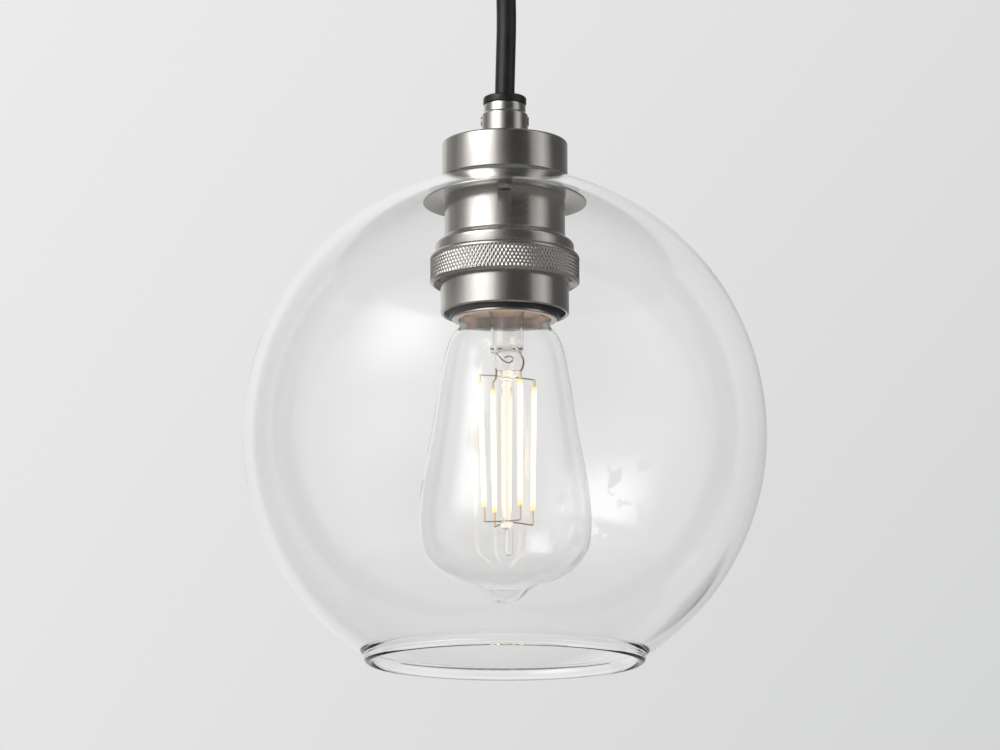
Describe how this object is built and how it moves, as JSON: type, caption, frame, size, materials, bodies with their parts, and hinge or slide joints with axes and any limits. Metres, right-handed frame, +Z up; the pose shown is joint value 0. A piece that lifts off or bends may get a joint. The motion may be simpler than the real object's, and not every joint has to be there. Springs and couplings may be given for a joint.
{
  "type": "pendant ceiling light",
  "caption": "Clear glass globe pendant with an open mouth, a turned nickel screw lampholder and a filament lamp, hung on one round flex from a ceiling rose.",
  "frame": {"origin": "centre of the bracket's upper face, which lies on the ceiling", "axes": "+Z up through the ceiling and along the flex, +X along the bracket towards one cover screw, -Y towards the viewer"},
  "size_m": [0.194, 0.194, 0.3032],
  "materials": {
    "nickel": "satin nickel plate, turned",
    "zinc_steel": "bright zinc-plated steel",
    "brass": "bare turned brass",
    "white_plastic": "white moulded plastic",
    "black_plastic": "black moulded plastic",
    "ceramic": "white glazed ceramic",
    "core_sleeve": "coloured core insulation",
    "flex_sheath": "smooth black sheath",
    "clear_gasket": "clear silicone",
    "globe_glass": "clear blown glass",
    "lamp_glass": "clear thin lamp glass",
    "board": "green circuit board",
    "wire": "bare support wire",
    "phosphor": "lit warm phosphor stick"
  },
  "bodies": {
    "ceiling_rose": {"ceiling_bracket": "zinc_steel", "rose_cover": "nickel", "rose_screws": "nickel", "terminal_block": "white_plastic", "block_screws": "brass", "rose_cores": "core_sleeve", "swivel_seat": "nickel", "seat_nut": "brass"},
    "swivel": {"swivel_ball": "black_plastic", "flex_tail": "flex_sheath"},
    "cord": {"suspension_cord": "flex_sheath"},
    "pendant": {"cord_collar": "black_plastic", "cord_grip": "nickel", "grip_screws": "zinc_steel", "hollow_nipple": "brass", "nipple_nut": "brass", "top_cap": "nickel", "upper_gasket": "clear_gasket", "glass_globe": "globe_glass", "lower_gasket": "clear_gasket", "shade_flange": "nickel", "upper_body": "nickel", "earth_screw": "brass", "live_core": "core_sleeve", "neutral_core": "core_sleeve", "earth_core": "core_sleeve"},
    "lower_holder": {"holder_cup": "nickel", "holder_insert": "black_plastic", "shell_rim_ring": "zinc_steel", "screw_shell": "brass", "side_contact": "brass", "terminal_base": "ceramic", "terminal_screws": "brass"},
    "union_ring": {"knurled_ring": "nickel"},
    "contact_pin": {"centre_contact": "brass"},
    "lamp": {"bulb_glass": "lamp_glass", "bulb_cap": "zinc_steel", "cap_insulator": "black_plastic", "cap_contact": "zinc_steel", "driver_board": "board", "bulb_stem": "lamp_glass", "stem_rod": "lamp_glass", "lead_wires": "wire", "upper_wires": "wire", "lower_wires": "wire", "filament_a": "phosphor", "filament_b": "phosphor", "filament_c": "phosphor", "filament_d": "phosphor", "filament_tabs": "wire"}
  },
  "joints": [
    {"name": "swing_front_back", "type": "hinge", "parent": "ceiling_rose", "child": "swivel", "pos_m": [0, 0, -0.0198], "axis": [1, 0, 0], "range_deg": [-15, 15]},
    {"name": "swing_side", "type": "hinge", "parent": "swivel", "child": "cord", "pos_m": [0, 0, -0.0198], "axis": [0, 1, 0], "range_deg": [-15, 15]},
    {"name": "flex_twist", "type": "hinge", "parent": "cord", "child": "pendant", "pos_m": [0, 0, -0.08905], "axis": [0, 0, 1], "range_deg": [-90, 90], "stiffness_Nm_per_rad": 0.01},
    {"name": "holder_drop", "type": "slide", "parent": "pendant", "child": "lower_holder", "axis": [0, 0, 1], "range_m": [-0.00451, 0]},
    {"name": "ring_turn", "type": "hinge", "parent": "lower_holder", "child": "union_ring", "pos_m": [0, 0, -0.15605], "axis": [0, 0, 1], "range_deg": [-1080, 0]},
    {"name": "contact_travel", "type": "slide", "parent": "lower_holder", "child": "contact_pin", "axis": [0, 0, 1], "range_m": [-0.00273, 0]},
    {"name": "lamp_turn", "type": "hinge", "parent": "contact_pin", "child": "lamp", "pos_m": [0, 0, -0.15805], "axis": [0, 0, 1], "range_deg": [-270, 0]}
  ],
  "couplings": [
    {"joint": "holder_drop", "follows": "ring_turn", "m_per_rad": 0.00023873},
    {"joint": "contact_travel", "follows": "lamp_turn", "m_per_rad": 0.00057757}
  ]
}
